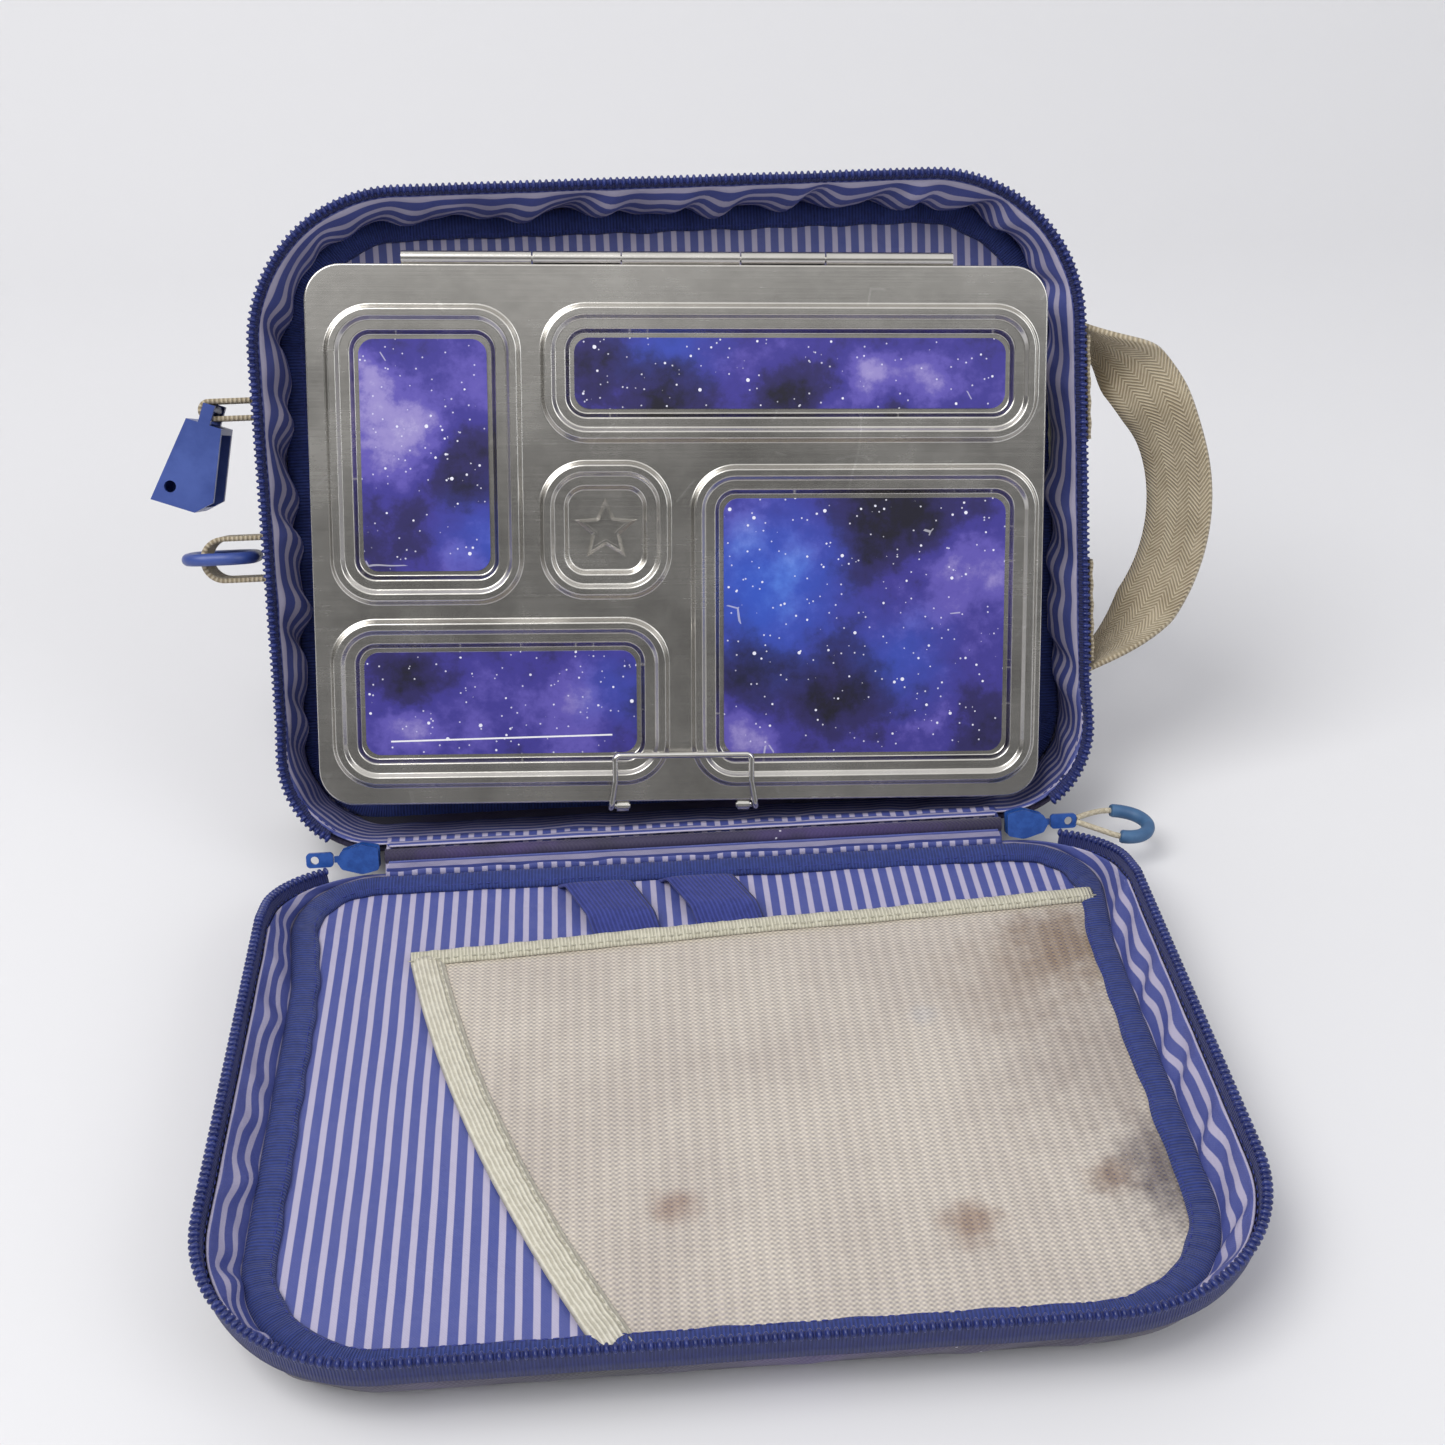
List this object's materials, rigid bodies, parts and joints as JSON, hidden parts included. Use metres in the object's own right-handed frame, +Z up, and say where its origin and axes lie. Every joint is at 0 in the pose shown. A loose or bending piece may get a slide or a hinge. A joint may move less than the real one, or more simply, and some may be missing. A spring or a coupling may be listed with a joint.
{
  "type": "insulated lunch box with carry bag",
  "caption": "Insulated zip carry bag lying open, with a divided stainless steel lunch box with a hinged lid held in its leaning back half.",
  "frame": {"origin": "centre of the face that the front half rests on, at table level", "axes": "+X across the bag towards the carry handle, +Y from the front half towards the leaning back half, +Z up"},
  "size_m": [0.352, 0.3588, 0.2096],
  "materials": {
    "outer_fabric": "woven polyester print",
    "lining": "coated striped lining",
    "navy_tape": "ribbed tape",
    "zipper_coil": "nylon coil",
    "mesh": "knitted mesh",
    "cream_tape": "ribbed elastic tape",
    "webbing": "herringbone webbing",
    "steel": "satin brushed",
    "wire_steel": "drawn wire",
    "magnet_sheet": "printed magnet sheet",
    "blue_plastic": "moulded, satin",
    "grip_rubber": "smooth rubber",
    "slider_paint": "enamel"
  },
  "bodies": {
    "bag_back": {"back_panel": "outer_fabric", "back_gusset": "outer_fabric", "back_lining": "lining", "back_binding": "navy_tape", "back_zipper_tape": "navy_tape", "back_zipper_teeth": "zipper_coil", "hinge_strip": "lining", "handle_strap": "webbing", "handle_patch_upper": "webbing", "handle_patch_lower": "webbing", "care_label": "cream_tape", "clip_strap_upper": "webbing", "clip_strap_lower": "webbing"},
    "bag_front": {"front_panel": "outer_fabric", "front_gusset": "outer_fabric", "front_lining": "lining", "front_binding": "navy_tape", "front_zipper_tape": "navy_tape", "front_zipper_teeth": "zipper_coil", "mesh_pocket": "mesh", "pocket_top_binding": "cream_tape", "pocket_side_binding": "cream_tape", "utensil_band_left": "navy_tape", "utensil_band_right": "navy_tape"},
    "box_tray": {"tray": "steel", "hinge_rod": "steel"},
    "box_lid": {"lid": "steel", "magnet_upper_left": "magnet_sheet", "magnet_upper_right": "magnet_sheet", "magnet_lower_left": "magnet_sheet", "magnet_lower_right": "magnet_sheet"},
    "wire_bail": {"bail": "wire_steel"},
    "hook": {"clip_hook": "blue_plastic"},
    "ring": {"clip_ring": "blue_plastic"},
    "left_slider": {"slider_left": "slider_paint"},
    "left_pull": {"pull_tab_left": "slider_paint"},
    "right_slider": {"slider_right": "slider_paint"},
    "right_pull": {"pull_tab_right": "slider_paint", "pull_cord": "webbing", "cord_grip": "grip_rubber"}
  },
  "joints": [
    {"name": "cover_hinge", "type": "hinge", "parent": "bag_back", "child": "bag_front", "pos_m": [0, 0.11, 0.014], "axis": [1, 0, 0], "range_deg": [-114, 0]},
    {"name": "box_slide", "type": "slide", "parent": "bag_back", "child": "box_tray", "axis": [0, -0.9135, 0.4067], "range_m": [0, 0.12]},
    {"name": "lid_hinge", "type": "hinge", "parent": "box_tray", "child": "box_lid", "pos_m": [0.00349, 0.19585, 0.18642], "axis": [-0.9993, 0.0156, 0.0351], "range_deg": [0, 110]},
    {"name": "bail_swing", "type": "hinge", "parent": "box_lid", "child": "wire_bail", "pos_m": [-0.00348, 0.12143, 0.02086], "axis": [0.9993, -0.0156, -0.0351], "range_deg": [0, 85]},
    {"name": "hook_swing", "type": "hinge", "parent": "bag_back", "child": "hook", "pos_m": [-0.155, 0.19842, 0.13883], "axis": [0, -0.9135, 0.4067], "range_deg": [-12, 12]},
    {"name": "ring_tilt", "type": "hinge", "parent": "bag_back", "child": "ring", "pos_m": [-0.16, 0.17849, 0.09407], "axis": [0, -0.9135, 0.4067], "range_deg": [-8, 8]},
    {"name": "left_slider_slide", "type": "slide", "parent": "bag_back", "child": "left_slider", "axis": [-1, 0, 0], "range_m": [0, 0.008]},
    {"name": "right_slider_slide", "type": "slide", "parent": "bag_back", "child": "right_slider", "axis": [1, 0, 0], "range_m": [0, 0.008]},
    {"name": "left_pull_hinge", "type": "hinge", "parent": "left_slider", "child": "left_pull", "pos_m": [-0.1212, 0.11, 0.014], "axis": [0, 0.4067, 0.9135], "range_deg": [0, 30]},
    {"name": "right_pull_hinge", "type": "hinge", "parent": "right_slider", "child": "right_pull", "pos_m": [0.1212, 0.11, 0.014], "axis": [0, -0.4067, -0.9135], "range_deg": [0, 15]}
  ]
}
